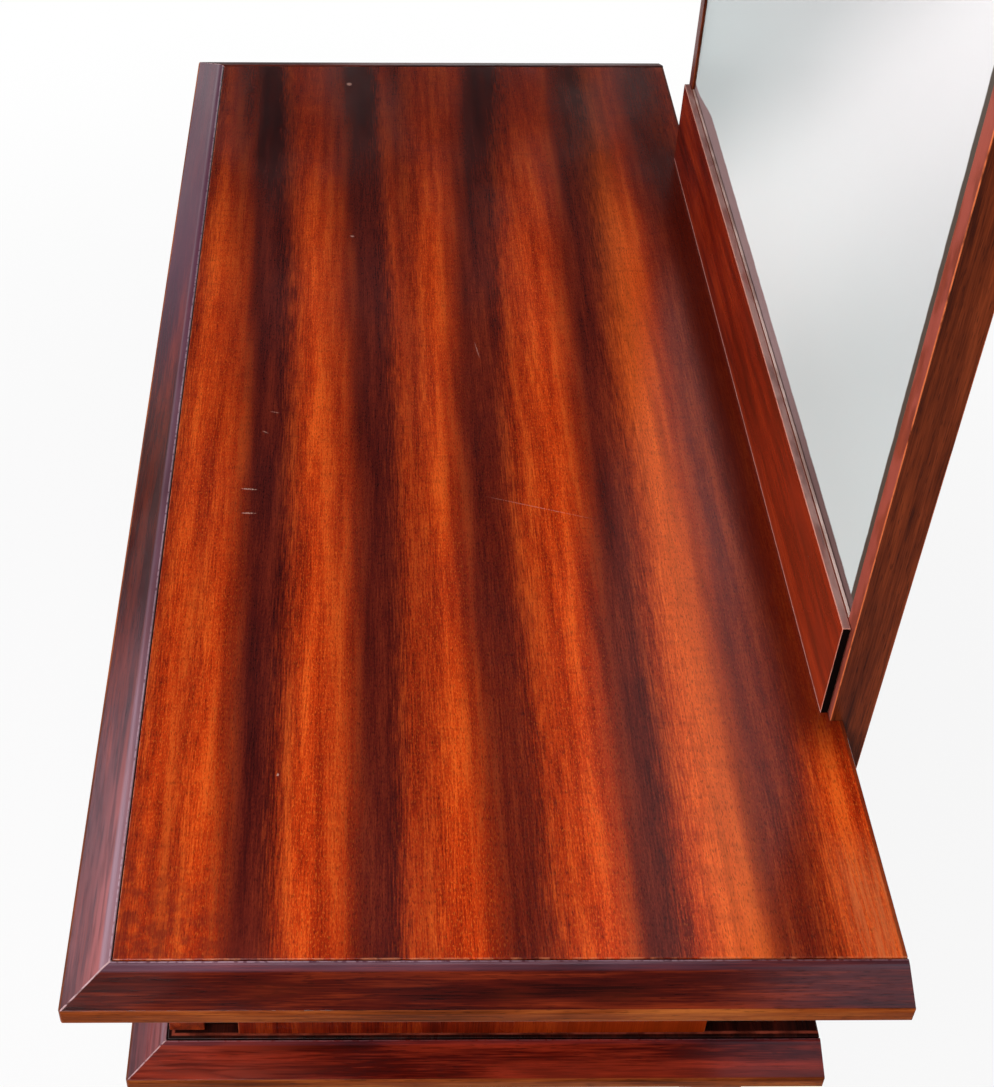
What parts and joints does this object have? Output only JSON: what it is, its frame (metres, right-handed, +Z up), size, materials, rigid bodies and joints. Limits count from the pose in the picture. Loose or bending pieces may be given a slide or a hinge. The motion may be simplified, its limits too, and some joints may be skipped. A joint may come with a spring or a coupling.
{
  "type": "dressing table with mirror",
  "caption": "Dressing table: long veneered top with bevelled mouldings over a drawer case on a shorter slab, tapered legs with brass feet, fixed framed mirror at the back.",
  "frame": {"origin": "on the floor, under the middle of the table's outline", "axes": "+X along the table's length to the right as seen from the front, +Y towards the mirror at the back, +Z up"},
  "size_m": [1.1, 0.4906, 1.55],
  "materials": {
    "figured_veneer": "glossy lacquered ribbon-striped veneer",
    "mahogany": "lacquered dark red-brown hardwood",
    "orange_veneer": "lacquered orange-brown veneer",
    "dark_stain": "dark stained wood",
    "drawer_wood": "plain pale hardwood",
    "plywood": "plain plywood",
    "silvered_glass": "silvered glass",
    "brass": "aged polished brass",
    "steel": "dull steel"
  },
  "bodies": {
    "table": {"top_panel": "figured_veneer", "top_front_moulding": "mahogany", "top_left_moulding": "mahogany", "top_right_moulding": "mahogany", "lower_panel": "dark_stain", "lower_front_moulding": "mahogany", "lower_left_moulding": "mahogany", "lower_right_moulding": "mahogany", "end_panel_left": "orange_veneer", "end_panel_right": "orange_veneer", "front_stile_left": "dark_stain", "front_stile_right": "dark_stain", "back_post_left": "dark_stain", "back_post_right": "dark_stain", "case_back": "dark_stain", "drawer_shelf": "drawer_wood", "drawer_divider": "drawer_wood", "mirror_stile_left": "mahogany", "mirror_stile_right": "mahogany", "mirror_top_rail": "mahogany", "mirror_bottom_rail": "mahogany", "mirror_glass": "silvered_glass", "mirror_backing": "plywood", "mirror_foot_board": "mahogany", "mirror_screw_lower_left": "steel", "mirror_screw_upper_left": "steel", "mirror_screw_lower_right": "steel", "mirror_screw_upper_right": "steel", "leg_front_left": "mahogany", "leg_front_right": "mahogany", "leg_back_left": "mahogany", "leg_back_right": "mahogany", "ferrule_front_left": "brass", "ferrule_front_right": "brass", "ferrule_back_left": "brass", "ferrule_back_right": "brass", "front_rail": "mahogany", "back_rail": "mahogany", "left_rail": "mahogany", "right_rail": "mahogany"},
    "long_drawer": {"long_drawer_front": "orange_veneer", "long_drawer_left_side": "drawer_wood", "long_drawer_right_side": "drawer_wood", "long_drawer_back": "drawer_wood", "long_drawer_bottom": "plywood", "long_drawer_left_knob": "brass", "long_drawer_right_knob": "brass"},
    "left_drawer": {"left_drawer_front": "orange_veneer", "left_drawer_left_side": "drawer_wood", "left_drawer_right_side": "drawer_wood", "left_drawer_back": "drawer_wood", "left_drawer_bottom": "plywood", "left_drawer_knob": "brass"},
    "right_drawer": {"right_drawer_front": "orange_veneer", "right_drawer_left_side": "drawer_wood", "right_drawer_right_side": "drawer_wood", "right_drawer_back": "drawer_wood", "right_drawer_bottom": "plywood", "right_drawer_knob": "brass"}
  },
  "joints": [
    {"name": "long_drawer_slide", "type": "slide", "parent": "table", "child": "long_drawer", "axis": [0, -1, 0], "range_m": [0, 0.285]},
    {"name": "left_drawer_slide", "type": "slide", "parent": "table", "child": "left_drawer", "axis": [0, -1, 0], "range_m": [0, 0.285]},
    {"name": "right_drawer_slide", "type": "slide", "parent": "table", "child": "right_drawer", "axis": [0, -1, 0], "range_m": [0, 0.285]}
  ]
}
